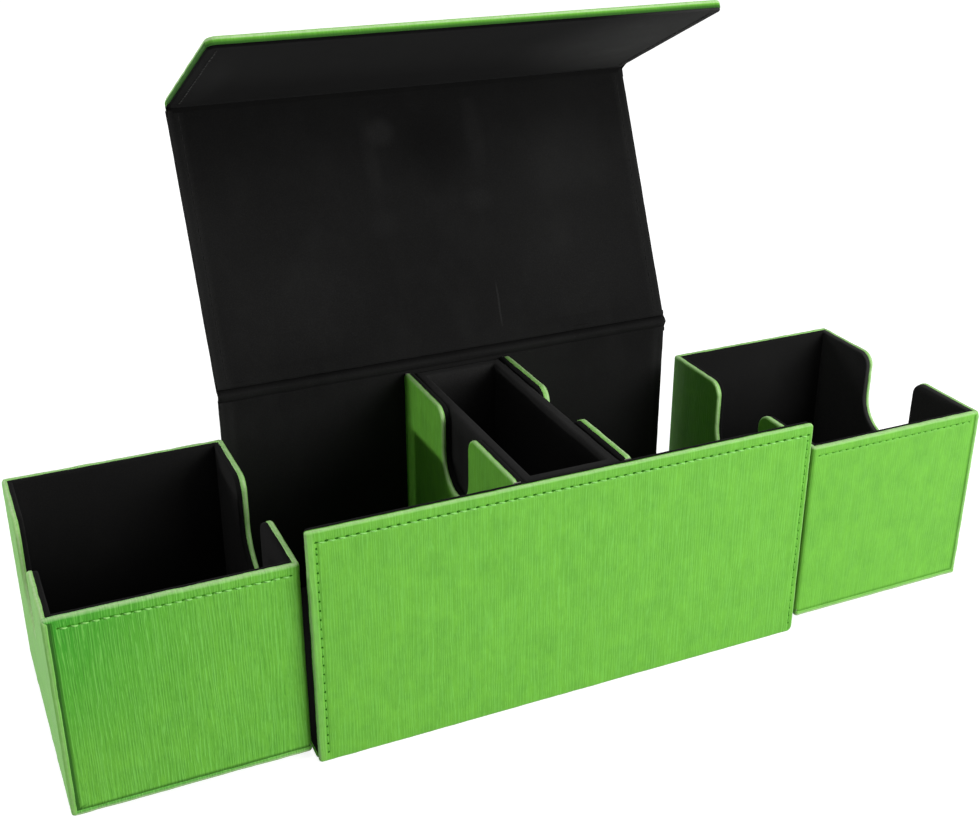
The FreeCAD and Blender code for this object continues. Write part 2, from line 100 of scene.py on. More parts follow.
class Panel:
    """A board's outline in its own plane: u across, v up, with rounded corners and maybe a thumb notch in its
    top. corners are the radii at the bottom left, bottom right, top right and top left."""

    ARC_POINTS = 5  # at least, on each arc

    def __init__(self, u0, u1, v0, v1, corners=CORNER, slot=None, step=1.2):
        self.box = (u0, u1, v0, v1)
        self.corners = corners if isinstance(corners, tuple) else (corners,) * 4
        self.slot = slot
        self.counts = [max(1, round(self.length(run) / step)) if run[0] == "line"
                       else max(self.ARC_POINTS, round(self.length(run) / (0.5 * step)))
                       for run in self.runs(0.0)]

    @staticmethod
    def length(run):
        if run[0] == "line":
            return math.dist(run[1], run[2])
        return run[2] * math.radians(abs(run[4] - run[3]))

    def runs(self, inset):
        """The edge's straight runs and arcs, moved in by inset, anticlockwise."""
        u0, u1, v0, v1 = self.box
        u0, u1, v0, v1 = u0 + inset, u1 - inset, v0 + inset, v1 - inset
        bl, br, tr, tl = (max(r - inset, 0.0) for r in self.corners)
        runs = [("line", (u0 + bl, v0), (u1 - br, v0)), ("arc", (u1 - br, v0 + br), br, -90, 0),
                ("line", (u1, v0 + br), (u1, v1 - tr)), ("arc", (u1 - tr, v1 - tr), tr, 0, 90)]
        at = (u1 - tr, v1)
        if self.slot:
            c, half = self.slot["centre"], self.slot["half"] + inset
            mouth = max(self.slot["mouth"] - inset, 0.0)
            foot = v1 - self.slot["depth"] + half - inset  # the round bottom's centre
            runs += [("line", at, (c + half + mouth, v1)),
                     ("arc", (c + half + mouth, v1 - mouth), mouth, 90, 180),
                     ("line", (c + half, v1 - mouth), (c + half, foot)),
                     ("arc", (c, foot), half, 360, 180),
                     ("line", (c - half, foot), (c - half, v1 - mouth)),
                     ("arc", (c - half - mouth, v1 - mouth), mouth, 0, 90)]
            at = (c - half - mouth, v1)
        runs += [("line", at, (u0 + tl, v1)), ("arc", (u0 + tl, v1 - tl), tl, 90, 180),
                 ("line", (u0, v1 - tl), (u0, v0 + bl)), ("arc", (u0 + bl, v0 + bl), bl, 180, 270)]
        return runs

    def outline(self, inset=0.0):
        """Points along the edge moved in by inset, as many for every inset."""
        points = []
        for run, count in zip(self.runs(inset), self.counts):
            for k in range(count):
                f = k / count
                if run[0] == "line":
                    (u, v), (u_end, v_end) = run[1:]
                    points.append((u + f * (u_end - u), v + f * (v_end - v)))
                else:
                    (u, v), radius, start, end = run[1:]
                    a = math.radians(start + f * (end - start))
                    points.append((u + radius * math.cos(a), v + radius * math.sin(a)))
        return np.array(points)


def quarter(steps):
    """1 - sine and 1 - cosine of the angles from 0 to 90 degrees, for a rounded edge."""
    for k in range(steps + 1):
        a = math.radians(90 * k / steps)
        yield 1 - math.sin(a), 1 - math.cos(a)


RIM_STEPS = 5


def rim(thickness, back=0.55, front=1.0, lip=1.0, inner=(), tones=(-0.3, 0.9)):
    """Rings of (inset, height, tone) from the back of a covered board, round its edge, to its front.
    back and front are the radii of the two bends, lip is how much of the back is covered, and inner are
    insets of more rings on the front. tones are those of the back of the edge, painted shade beside the lining,
    and of its crest, wear with a painted highlight."""
    dark, crest = tones
    rings = [(back + lip, 0.0, dark)]
    rings += [(back * s, back * c, dark) for s, c in quarter(RIM_STEPS)]
    rings.append((0.0, back + 0.65 * (thickness - front - back), dark + 0.35 * (crest - dark)))
    rings += [(front * c, thickness - front * s, crest * (1 - k / RIM_STEPS))
              for k, (s, c) in enumerate(quarter(RIM_STEPS))]
    rings.append((front + 0.35, thickness, 0.0))
    return rings + [(x, thickness, 0.0) for x in inner]


SEAM_RINGS = (1.9, 2.3, 2.7, 3.1, 3.5, 3.8, 4.1, 4.4, 4.7, 5.1, 5.6)  # close together, for a seam pressed in
PLAIN_RINGS = (2.0, 3.2)


# ---------------- places
def flat(origin, across, up=(0, 0, 1)):
    """Takes (u, v, height) on a board to a point in space: height is along across x up."""
    o, a, b = Vector(origin), Vector(across), Vector(up)
    n = a.cross(b)
    return lambda u, v, t: o + a * u + b * v + n * t


def leaning(axis, lean):
    """The place of the lid or flap: v runs from its crease, and height is towards the outside."""
    a = math.radians(lean)
    return flat((0, *axis), (-1, 0, 0), (0, math.sin(a), math.cos(a)))


class Bend:
    """A path in plan with square turns, each rounded. It takes (u, v, height) on an unrolled wall to a point in
    space: u is along the path, v is up, and height reaches thickness on the path itself."""

    TURN = math.radians(90)
    CUTS = 6  # pieces that each turn is cut into

    def __init__(self, points, radius, thickness):
        self.radius, self.thickness, self.runs, self.cuts = radius, thickness, [], []
        pts = [Vector(p) for p in points]
        at, here = 0.0, pts[0]
        for k in range(1, len(pts)):
            d = (pts[k] - pts[k - 1]).normalized()
            trim = radius if k < len(pts) - 1 else 0.0
            long = (pts[k] - here).length - trim
            self.runs.append(("line", at, at + long, here.copy(), d))
            at, here = at + long, here + d * long
            if trim:
                after = (pts[k + 1] - pts[k]).normalized()
                self.runs.append(("arc", at, at + radius * self.TURN, here + after * radius, d))
                self.cuts += [at + radius * self.TURN * f / self.CUTS for f in range(self.CUTS + 1)]
                at, here = at + radius * self.TURN, pts[k] + after * radius
        self.end = at

    def __call__(self, u, v, t):
        depth = self.thickness - t
        run = next((r for r in self.runs if u <= r[2]), self.runs[-1])
        d = run[4]
        out = Vector((d.y, -d.x))
        if run[0] == "line":
            p = run[3] + d * (u - run[1]) - out * depth
        else:
            a = (u - run[1]) / self.radius
            inner = 0.05  # the smallest radius, so that the wall's back doesn't turn inside out
            p = run[3] + (out * math.cos(a) + d * math.sin(a)) * max(self.radius - depth, inner)
        return Vector((p.x, p.y, v))


# ---------------- skins
HOLE_DIP, HOLE_REACH = 0.16, 0.5  # how far a face sinks at a needle hole, and how far round it


def seam_relief(lines, holes, depth=0.32, width=0.6):
    """How far a stitched face sinks along its seams, and a little more at each needle hole."""
    spots = np.array(holes).reshape(-1, 2)

    def relief(p):
        sink = 0.0
        for a, b in lines:
            a, b = np.array(a), np.array(b)
            f = np.clip((p - a) @ (b - a) / ((b - a) @ (b - a)), 0, 1)
            sink = max(sink, depth * math.exp(-((np.linalg.norm(p - a - f * (b - a)) / width) ** 2)))
        if len(spots) and sink > 0.02:
            near = np.linalg.norm(spots - p, axis=1).min()
            sink += HOLE_DIP * math.exp(-((near / HOLE_REACH) ** 2))
        return -sink

    return relief


def placed(name, data):
    obj = bpy.data.objects.new(name, data)
    bpy.context.scene.collection.objects.link(obj)
    return obj


def ladder(part, rows):
    """Makes the faces between each two rings of points. Gives each with the (ring, point) of its corners."""
    faces, size = [], len(rows[0])
    for j in range(len(rows) - 1):
        for k in range(size):
            m = (k + 1) % size
            corners = (j, k), (j, m), (j + 1, m), (j + 1, k)
            faces.append((part.faces.new([rows[a][b] for a, b in corners]), corners))
    return faces


class Skin:
    """A mesh in the making. Parts are added in mm, and piece() makes the object."""

    SWAY_REACH = 4  # the unevenness of an edge dies away within this distance of it
    BROAD, CLOSE, RISE = 0.16, 0.7, 0.3  # how fast its long and short waves and its rises vary, per mm
    APART = 7.3  # between the places in the noise of two seeds
    THREAD_RINGS, THREAD_SIDES, HOLE_SIDES = 6, 6, 10

    def __init__(self):
        self.bm = bmesh.new()
        self.bm.loops.layers.uv.new("UVMap")
        self.bm.verts.layers.float.new("tone")

    def loft(self, panel, rings, where, relief=None, wobble=0.12, seed=0.0, cuts=(), material=0, tone=None):
        """A closed skin through the panel's outline at each ring of (inset, height, tone). wobble is how uneven
        its edges are. tone may change a point's tone: it takes the point and its ring's tone. Tone is 1 on a
        worn crest with a painted highlight and -1 in a fold with painted shade."""
        part = bmesh.new()
        uv = part.loops.layers.uv.new("UVMap")
        shade = part.verts.layers.float.new("tone")
        top = rings[-1][1]
        wraps = [rings[-1][0]]
        for here, after in zip(rings[-2::-1], rings[:0:-1]):
            wraps.insert(0, wraps[0] - math.dist(here[:2], after[:2]) if here[1] != top else here[0])
        verts, spots = [], []
        for (inset, height, pale), wrap in zip(rings, wraps):
            sway = wobble * max(0.0, 1 - inset / self.SWAY_REACH)
            row = []
            for p in panel.outline(inset):
                at = Vector((*p, seed * self.APART))
                move = (noise.noise_vector(at * self.BROAD) + noise.noise_vector(at * self.CLOSE) * 0.5) * sway
                rise = 0.0
                if height == top:
                    rise = (relief(p) if relief else 0.0) + noise.noise(at * self.RISE) * 0.5 * sway
                v = part.verts.new((p[0] + move.x, p[1] + move.y, height + rise))
                v[shade] = tone(p, pale) if tone else pale
                row.append(v)
            verts.append(row)
            spots.append(panel.outline(wrap))
        for face, corners in ladder(part, verts):
            face.smooth = True
            for loop, (j, k) in zip(face.loops, corners):
                loop[uv].uv = spots[j][k] * MM
        for row in (verts[0][::-1], verts[-1]):
            face = part.faces.new(row)
            face.smooth = bool(cuts)
            for loop in face.loops:
                loop[uv].uv = loop.vert.co.xy * MM
        bmesh.ops.remove_doubles(part, verts=part.verts, dist=1e-4)
        for u in cuts:
            bmesh.ops.bisect_plane(part, geom=part.verts[:] + part.edges[:] + part.faces[:], dist=1e-5,
                                   plane_co=(u, 0, 0), plane_no=(1, 0, 0))
        self.take(part, where, material, smooth=False)

    def take(self, part, where, material=0, smooth=True):
        """Puts a part in its place and adds it to the skin."""
        for v in part.verts:
            v.co = where(*v.co)
        for f in part.faces:
            f.material_index = material
            f.smooth = f.smooth or smooth
        held = bpy.data.meshes.new("part")
        part.to_mesh(held)
        part.free()
        self.bm.from_mesh(held)
        bpy.data.meshes.remove(held)

    def thread(self, a, b, height, where, radius, arch, slant, material):
        """One stitch from hole a to hole b: a grain of thread that lies over the seam."""
        rings, sides = self.THREAD_RINGS, self.THREAD_SIDES
        part = bmesh.new()
        a, b = np.array(a, float), np.array(b, float)
        along = b - a
        side = np.array([-along[1], along[0]]) / np.linalg.norm(along)
        rows = []
        for k in range(rings + 1):
            f = k / rings
            mid = a + along * (0.06 + 0.88 * f) + side * slant * (1 - 2 * f)
            fat = radius * max(math.sin(math.pi * (0.08 + 0.84 * f)), 0.2) ** 0.5
            up = height + arch * math.sin(math.pi * f)
            rows.append([part.verts.new((*(mid + side * fat * math.cos(w)), up + fat * math.sin(w)))
                         for w in (2 * math.pi * j / sides for j in range(sides))])
        ladder(part, rows)
        part.faces.new(rows[0][::-1])
        part.faces.new(rows[-1])
        self.take(part, where, material)

    def hole(self, at, along, height, where, size, material):
        """A needle hole: a dark lens just proud of the seam's floor, its colour the painted shade of the hole.
        """
        sides = self.HOLE_SIDES
        part = bmesh.new()
        at = np.array(at)
        along = np.array(along, float) / np.linalg.norm(along)
        side = np.array([-along[1], along[0]])
        rows = []
        for scale, up in ((1.0, -0.12), (0.92, 0.03), (0.5, 0.07)):
            row = []
            for w in (2 * math.pi * j / sides for j in range(sides)):
                spot = at + scale * (along * size[0] * math.cos(w) + side * size[1] * math.sin(w))
                row.append(part.verts.new((*spot, height + up)))
            rows.append(row)
        ladder(part, rows)
        part.faces.new(rows[-1])
        part.faces.new(rows[0][::-1])
        self.take(part, where, material)

    def strip(self, path, ends, thickness, tones, wobble, seed, step=2.5):
        """A thin skin along x that follows path, a line of (y, z) with a tone for each point. It is thickness
        thick, and thinner at its two ends."""
        part = bmesh.new()
        uv = part.loops.layers.uv.new("UVMap")
        shade = part.verts.layers.float.new("tone")
        pts = np.array(path, float)
        ahead = np.gradient(pts, axis=0)
        out = np.stack([ahead[:, 1], -ahead[:, 0]], 1) / np.linalg.norm(ahead, axis=1)[:, None]
        far = np.concatenate([[0], np.cumsum(np.linalg.norm(np.diff(pts, axis=0), axis=1))])
        count = max(2, round((ends[1] - ends[0]) / step))
        rows = []
        for k in range(count + 1):
            x = ends[0] + (ends[1] - ends[0]) * k / count
            thin = 0.55 if k in (0, count) else 1.0
            row = []
            for sign in (1, -1):
                order = range(len(pts)) if sign == 1 else range(len(pts) - 1, -1, -1)
                for i in order:
                    sway = wobble * noise.noise(Vector((x * 0.06, i * 0.3, seed)))
                    p = pts[i] + out[i] * (sign * thickness / 2 * thin + sway)
                    row.append(part.verts.new((x, *p)))
                    row[-1][shade] = tones[i]
            rows.append(row)
        tags = [*range(len(pts)), *range(len(pts) - 1, -1, -1)]
        for face, corners in ladder(part, rows):
            for loop, (k, i) in zip(face.loops, corners):
                loop[uv].uv = (-rows[k][i].co.x * MM, far[tags[i]] * MM)
        part.faces.new(rows[0][::-1])
        part.faces.new(rows[-1])
        self.take(part, lambda x, y, z: Vector((x, y, z)))

    def piece(self, name, materials, body, stands_for=(), slot=None, blend=None):
        """Makes the object. It rides on body, or stays unattached where it is when blend is given, and may
        stand for CAD nodes, which it hides.
        """
        bmesh.ops.recalc_face_normals(self.bm, faces=self.bm.faces)
        self.bm.transform(Matrix.Scale(MM, 4))
        mesh = bpy.data.meshes.new(name)
        self.bm.to_mesh(mesh)
        self.bm.free()
        for m in materials:
            mesh.materials.append(m)
        obj = placed(name, mesh)
        if blend:
            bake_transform(obj)
        else:
            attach(obj, body)
        if stands_for:
            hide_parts(*stands_for)


def hole_row(start, end, pitch=STITCH):
    """Needle holes from start to end, evenly spaced at about pitch."""
    start, end = np.array(start, float), np.array(end, float)
    count = max(1, round(np.linalg.norm(end - start) / pitch))
    return [tuple(start + (end - start) * k / count) for k in range(count + 1)]


STITCHES = {  # thread radius, arch, slant, how far it lies below the seam, hole length and width
    "dash": (0.33, 0.24, 0.22, 0.30, (0.68, 0.34)),
    "loop": (0.36, 0.36, 0.16, 0.10, (0.50, 0.26)),
    "dots": (0.26, 0.04, 0.05, 0.00, (0.40, 0.36)),
    "faint": (0.28, 0.10, 0.10, 0.05, (0.36, 0.28)),
}
STITCH_STARTS, STITCH_ENDS = 0.45, 0.25  # from a stitch's two ends to the holes
HOLE_UP = 0.1  # from the thread's level to the hole's
JITTER = 0.05


def sew(skin, rows, height, where, style, seed, material=(0, 1)):
    """Thread and needle holes along each row of holes. material is the thread's and the holes'."""
    rng = np.random.default_rng(seed)
    fat, arch, slant, below, hole = STITCHES[style]
    for row in rows:
        for a, b in zip(row, row[1:]):
            a, b = np.array(a), np.array(b)
            along = (b - a) / np.linalg.norm(b - a)
            drop = np.array([along[1], -along[0]]) * below * (1 if along[0] >= 0 else -1)
            shift = rng.normal(0, JITTER, 2) + drop
            skin.thread(a + along * STITCH_STARTS + shift, b - along * STITCH_ENDS + shift, height, where,
                        fat * rng.uniform(0.88, 1.12), arch, slant, material[0])
        for k, a in enumerate(row):
            along = np.array(row[min(k + 1, len(row) - 1)]) - np.array(row[max(k - 1, 0)])
            size = tuple(x * rng.uniform(0.85, 1.15) for x in hole)
            skin.hole(a, along, height + HOLE_UP, where, size, material[1])


# ---------------- materials
class Mat:
    """A procedural material: node() makes a node, sets its sockets and links those given another's output."""

    def __init__(self, name):
        self.material = bpy.data.materials.new(name)
        self.material.use_nodes = True
        self.tree = self.material.node_tree
        self.shader = self.tree.nodes["Principled BSDF"]

    def put(self, node, **sockets):
        for key, value in sockets.items():
            numbered = key[0] == "i" and key[1:].isdigit()  # i0, i1 and so on
            self.fill(node.inputs[int(key[1:]) if numbered else key.replace("_", " ")], value)
        return node

    def fill(self, socket, value):
        """Links value to the socket if it is another node's output, and otherwise sets it there."""
        if isinstance(value, bpy.types.NodeSocket):
            self.tree.links.new(value, socket)
        else:
            socket.default_value = (*value, 1) if socket.type == "RGBA" and len(value) == 3 else value

    def node(self, kind, setup=None, **sockets):
        node = self.tree.nodes.new("ShaderNode" + kind)
        for key, value in (setup or {}).items():
            setattr(node, key, value)
        return self.put(node, **sockets)

    def coords(self, kind):
        if kind == "UV":
            return self.node("UVMap", {"uv_map": "UVMap"}).outputs["UV"]
        return self.node("TexCoord").outputs[kind]

    def noise(self, vector, scale, detail=2.0, rough=0.5, shift=0.0, warp=0.0):
        """Noise with its own scale along each axis, per metre."""
        spot = self.node("Mapping", Vector=vector, Scale=scale, Location=(shift, shift * 0.7, shift * 0.3))
        return self.node("TexNoise", Vector=spot.outputs[0], Scale=1.0, Detail=detail, Roughness=rough,
                         Distortion=warp).outputs["Fac"]

    def ramp(self, value, low, high, to_low=0.0, to_high=1.0):
        return self.node("MapRange", Value=value, From_Min=low, From_Max=high, To_Min=to_low,
                         To_Max=to_high).outputs[0]

    def math(self, kind, a, b=0.0):
        return self.node("Math", {"operation": kind}, i0=a, i1=b).outputs[0]

    def plus(self, a, b):
        return self.math("ADD", a, b)

    def times(self, a, b):
        return self.math("MULTIPLY", a, b)

    def tone(self):
        """The skin's tone: 1 on a worn crest with a painted highlight and -1 in a fold with painted shade."""
        return self.node("Attribute", {"attribute_name": "tone"}).outputs["Fac"]

    def mix(self, fac, a, b):
        return self.node("Mix", {"data_type": "RGBA"}, i0=fac, i6=a, i7=b).outputs[2]

    def bump(self, height, distance, strength=1.0):
        return self.node("Bump", Height=height, Distance=distance, Strength=strength).outputs[0]


GREEN, GREEN_LIGHT, GREEN_DARK = (0.142, 0.462, 0.040), (0.225, 0.66, 0.105), (0.062, 0.29, 0.016)
GREEN_WORN_HIGHLIT, GREEN_PAINTED_SHADE, GREEN_CORNER_SHADE = (0.47, 0.65, 0.34), (0.022, 0.10, 0.010), (0.036, 0.335, 0.013)
MOTTLE_LOW, MOTTLE_HIGH = (0.89, 0.89, 0.89), (1.19, 1.11, 1.10)  # how far GREEN varies
LINES = 900.0  # embossed lines per metre
GRAIN = 0.00007  # m from the leatherette's sunk lines to its raised ones, at a depth of 1


def leatherette(name, pale, deep, depth, painted_shade=0.0):
    """Bright green leatherette embossed with fine lines along v, about 1.1 mm apart, and finer hairs between
    them. pale and deep are how strongly the raised and the sunk ones show, and depth is how far the grain
    stands. The last argument is painted shade: it makes the green a little deeper all over, and deepest
    where u is low and v high, at the top of the left drawer's front corner."""
    m = Mat(name)
    at = m.coords("UV")
    tone = m.tone()
    across, up = m.node("SeparateXYZ", Vector=at).outputs[:2]
    wander = m.times(m.noise(at, (130, 4, 1), 2, 0.5, 0.3), 7.0)
    drift = m.plus(wander, m.noise(at, (420, 60, 1), 1, 0.5, 4.3))
    wave = m.math("SINE", m.times(m.plus(m.times(across, LINES), drift), math.tau))
    hairs = m.ramp(m.noise(at, (2300, 50, 1), 1, 0.5, 2.2), 0.52, 0.72)
    specks = m.ramp(m.noise(at, (1900, 120, 1), 2, 0.6, 6.1), 0.44, 0.26)
    raised = m.times(m.ramp(wave, 0.45, 1.0), m.ramp(m.noise(at, (1100, 180, 1), 2, 0.6, 9.1), 0.38, 0.56))
    sunk = m.times(m.ramp(wave, -0.35, -1.0), m.ramp(m.noise(at, (900, 190, 1), 2, 0.6, 3.1), 0.44, 0.62))
    light = m.math("MAXIMUM", raised, m.times(hairs, 0.7))
    dark = m.math("MAXIMUM", sunk, m.times(specks, 0.7))
    mottle = m.ramp(m.noise(at, (170, 120, 1), 4, 0.65, 7.9), 0.3, 0.7)
    colour = m.mix(mottle, *(tuple(c * k for c, k in zip(GREEN, f)) for f in (MOTTLE_LOW, MOTTLE_HIGH)))
    # painted shade: a little deeper green all over, deepest at the top of the left drawer's front corner
    if painted_shade:
        corner = m.times(m.ramp(across, 0.05, 0.0), m.ramp(up, 0.02, 0.075, 0.0, painted_shade))
        colour = m.mix(m.plus(corner, 0.10 * painted_shade), colour, GREEN_CORNER_SHADE)
    colour = m.mix(m.times(light, pale), colour, GREEN_LIGHT)
    colour = m.mix(m.times(dark, deep), colour, GREEN_DARK)
    # wear and painted highlight: a crest of positive tone turns pale; painted shade: a fold of negative tone
    # turns dark green
    rub = m.ramp(m.noise(at, (600, 600, 1), 3, 0.6, 2.2), 0.35, 0.6, 0.7, 1.0)
    colour = m.mix(m.times(m.times(m.ramp(tone, 0, 1), rub), 0.9), colour, GREEN_WORN_HIGHLIT)
    colour = m.mix(m.times(m.ramp(tone, 0, -1), 0.93), colour, GREEN_PAINTED_SHADE)
    height = m.plus(m.math("SUBTRACT", light, dark), m.times(mottle, 0.5))
    rough = m.math("SUBTRACT", m.plus(m.times(mottle, 0.06), 0.52), m.times(light, 0.06))
    rough = m.plus(rough, m.ramp(tone, 0, -0.5, 0.0, 0.45))  # a dark fold has no gloss
    m.put(m.shader, Base_Color=colour, Roughness=rough, Normal=m.bump(height, GRAIN * depth, 0.85),
          Specular_IOR_Level=0.3)
    return m.material


BLACK, BLACK_NAP, BLACK_BRUSHED = (0.0086, 0.0086, 0.0085), (0.0118, 0.0118, 0.0115), (0.018, 0.018, 0.0175)
BLACK_PILE, LINT = (0.023, 0.023, 0.0225), (0.22, 0.22, 0.21)
SHADE_LOW = 0.12  # the darkest that painted shade from a mark or a fold makes the velvet


def velvet(name, marks=()):
    """Short black velvet, its nap brushed a little lighter here and there, with a few specks of lint.
    marks are (u, v, half width, half height, strength) in mm on the piece's map: rubbed places, painted shade
    and painted light."""
    m = Mat(name)
    at = m.coords("Object")
    tone = m.tone()
    nap = m.ramp(m.noise(at, (13, 13, 9), 3, 0.55), 0.32, 0.70)
    brushed = m.ramp(m.noise(at, (60, 60, 34), 3, 0.6, 4.4), 0.50, 0.78)
    pile = m.noise(at, (2600, 2600, 2600), 2, 0.6)
    colour = m.mix(nap, BLACK, BLACK_NAP)
    colour = m.mix(m.times(brushed, 0.3), colour, BLACK_BRUSHED)
    colour = m.mix(m.times(m.ramp(pile, 0.45, 0.7), 0.3), colour, BLACK_PILE)
    # the skin's tone paints shade into folds and creases, and lightens worn and highlit edges
    shade = m.plus(1.0, m.times(tone, 0.75))
    for u, v, wide, high, strength in marks:
        size = (1 / (wide * MM), 1 / (high * MM), 0.0)
        spot = m.node("Mapping", Vector=m.coords("UV"), Scale=size, Location=(-u / wide, -v / high, 0))
        ball = m.node("TexGradient", {"gradient_type": "SPHERICAL"}, Vector=spot.outputs[0]).outputs["Fac"]
        soft = m.node("MapRange", {"interpolation_type": "SMOOTHSTEP"}, Value=ball, From_Min=0.0,
                      From_Max=0.75, To_Min=0.0, To_Max=strength).outputs[0]
        shade = m.plus(shade, soft)
    shade = m.math("MAXIMUM", shade, SHADE_LOW)
    shaded = m.node("VectorMath", {"operation": "SCALE"}, Vector=colour, Scale=shade)
    lint = m.node("TexVoronoi", Vector=at, Scale=42.0)
    near = m.ramp(lint.outputs["Distance"], 0.016, 0.008)
    rare = m.ramp(m.node("SeparateXYZ", Vector=lint.outputs["Color"]).outputs[0], 0.80, 0.82)
    colour = m.mix(m.times(m.times(near, rare), 0.7), shaded.outputs["Vector"], LINT)
    m.put(m.shader, Base_Color=colour, Roughness=1.0, Specular_IOR_Level=0.03, Sheen_Weight=0.02,
          Sheen_Roughness=0.5, Normal=m.bump(m.plus(m.times(pile, 0.5), nap), 0.0002, 0.5))
    return m.material


def plain(name, base, dark, scale, rough, spec=0.4, metal=0.0, bump=0.00005):
    """A small procedural finish: two tones of grain with matching bump. scale is the grain's, per metre."""
    m = Mat(name)
    grain = m.noise(m.coords("Object"), scale if isinstance(scale, tuple) else (scale,) * 3, 3, 0.6)
    m.put(m.shader, Base_Color=m.mix(m.ramp(grain, 0.35, 0.65), dark, base), Specular_IOR_Level=spec,
          Metallic=metal, Roughness=m.ramp(grain, 0.3, 0.7, rough - 0.06, rough + 0.06),
          Normal=m.bump(grain, bump, 0.5))
    return m.material


EVERYWHERE = 900  # mm, far more than any panel
LID_RUBS_AND_SHADOW = (
    (16, 95, 8, 8, 0.5), (22, 84, 5, 26, 0.2), (21, 58, 9, 8, 0.22),  # rubbed places
    (-25, 90, 6, 24, 0.15), (-22, 63, 9, 7, 0.26), (-66, 78, 28, 24, 0.22), (-5, 84, 22, 22, -0.2),
    (-23.2, 22, 0.6, 8, 0.9), (-22.9, 14, 0.6, 8, 0.8),  # a fine scratch
    (60, 30, 44, 30, 0.27), (-60, 30, 40, 34, 0.24), (0, 40, EVERYWHERE, 200, 0.1),
    (0, 122, EVERYWHERE, 62, -0.48))  # painted shadow of the flap, dark towards it
FLAP_PAINTED_LIGHT = ((0, -6, EVERYWHERE, 60, -0.85), (0, 70, EVERYWHERE, 90, -0.28),  # painted shade, dark towards the crease
              (100, 50, 75, 70, 3.9), (-92, 40, 12, 50, 0.5))  # painted light, pale towards its two ends
# copies of one leatherette: stronger streaks on the left drawer and softer ones on the right stand for how the
# light shows the grain; the left copy also has painted shade
leather = leatherette("green_leatherette_streaked", 0.42, 0.16, 0.6)
leather_left_shaded = leatherette("green_leatherette_deep_streaks_shaded", 0.60, 0.50, 1.0, 0.9)
leather_right = leatherette("green_leatherette_soft_streaks", 0.22, 0.10, 0.5)
black = velvet("black_velvet_nap")
black_lid = velvet("black_velvet_rubbed_and_shaded", LID_RUBS_AND_SHADOW)
black_flap = velvet("black_velvet_shaded", FLAP_PAINTED_LIGHT)
# painted light, with some dust: the right drawer's end lining is lightened all over
black_dusty_lit = velvet("black_velvet_dusty_lit", ((0, 40, EVERYWHERE, EVERYWHERE, 2.0),))
thread_green = plain("green_thread", (0.30, 0.68, 0.17), (0.20, 0.56, 0.10), 2600, 0.55)
thread_dull = plain("green_thread_worn", (0.19, 0.55, 0.07), (0.13, 0.45, 0.04), 2600, 0.6)
# painted shade: the dark green of a needle hole stands for the shade inside it
needle_shade = plain("needle_hole_shade", (0.040, 0.190, 0.014), (0.024, 0.13, 0.008), 1500, 1.0, 0.0)
needle_shade_faint = plain("needle_hole_shade_faint", (0.066, 0.28, 0.022), (0.045, 0.21, 0.015), 1500, 1.0, 0.0)
thread_black = plain("black_thread", (0.019, 0.019, 0.0185), (0.011, 0.011, 0.0105), 900, 0.9, 0.05)
thread_grey = plain("charcoal_thread", (0.085, 0.085, 0.083), (0.035, 0.035, 0.034), 500, 0.9, 0.05)
board_grey = plain("greyboard", (0.36, 0.34, 0.30), (0.27, 0.255, 0.225), 320, 0.9, 0.2)
nickel = plain("magnet_nickel", (0.62, 0.62, 0.64), (0.50, 0.50, 0.52), (90, 900, 90), 0.32, 0.5, 1.0, 0.00002)
FINISHES = {"greyboard": board_grey, "magnet": nickel, "black_velvet": black}
for row in frame["record"]["subparts"]:
    for place in frame["nodes"][row["node"]].material_slots:
        place.material = FINISHES.get(row["material_slot"], leather)


# ---------------- pieces of one kind
LEATHER_SLOT, VELVET_SLOT = "green_leatherette", "black_velvet"
LINING_RIM_SHADE = (-0.5, -0.5)  # painted shade: a lining's rim is darker than its face


def lifted(where, by):
    """The same place with its heights raised."""
    return lambda u, v, t: where(u, v, t + by)


def sheet(name, body, nodes, material, panel, rings, where, **more):
    """A piece of one skin."""
    skin = Skin()
    skin.loft(panel, rings, where, **more)
    skin.piece(name, [material], body, nodes, LEATHER_SLOT if material == leather else VELVET_SLOT)


def stitching(name, body, slot, materials, *rows):
    """A piece of thread and needle holes. Each of rows is what sew() takes after the skin."""
    skin = Skin()
    for row in rows:
        sew(skin, *row)
    skin.piece(name, materials, body, slot=slot)


EDGE_WEAR = (  # distance from the side, and tone
    (0.0, 1.4), (0.8, 0.9), (2.0, 0.35), (2.8, 0.3), (3.6, 0.45), (4.5, 0.45), (5.4, 0.2), (6.6, 0.0))


def edge_band(name, body, node, material, low, high, where, seed):
    """Velvet that covers a board's inside and turns round its two sides, short of the outer face. It is rubbed
    pale beside them."""
    side = HALF_LENGTH + OVERLAP
    far, tone = zip(*EDGE_WEAR)
    rings = [(inset, 0.0, 0.0) for inset in far[:1:-1]] + rim(2.9, back=0.9, front=0.5, lip=0.8)
    sheet(name, body, [node], material, Panel(-side, side, low, high, 0.6), rings, where, wobble=0.1,
          seed=seed, tone=lambda p, pale: float(np.interp(side - abs(p[0]), far, tone)))


# ---------------- the case
FRONT = flat((0, -PANEL_AT, 0), (1, 0, 0))
BACK = flat((0, PANEL_AT, 0), (-1, 0, 0))


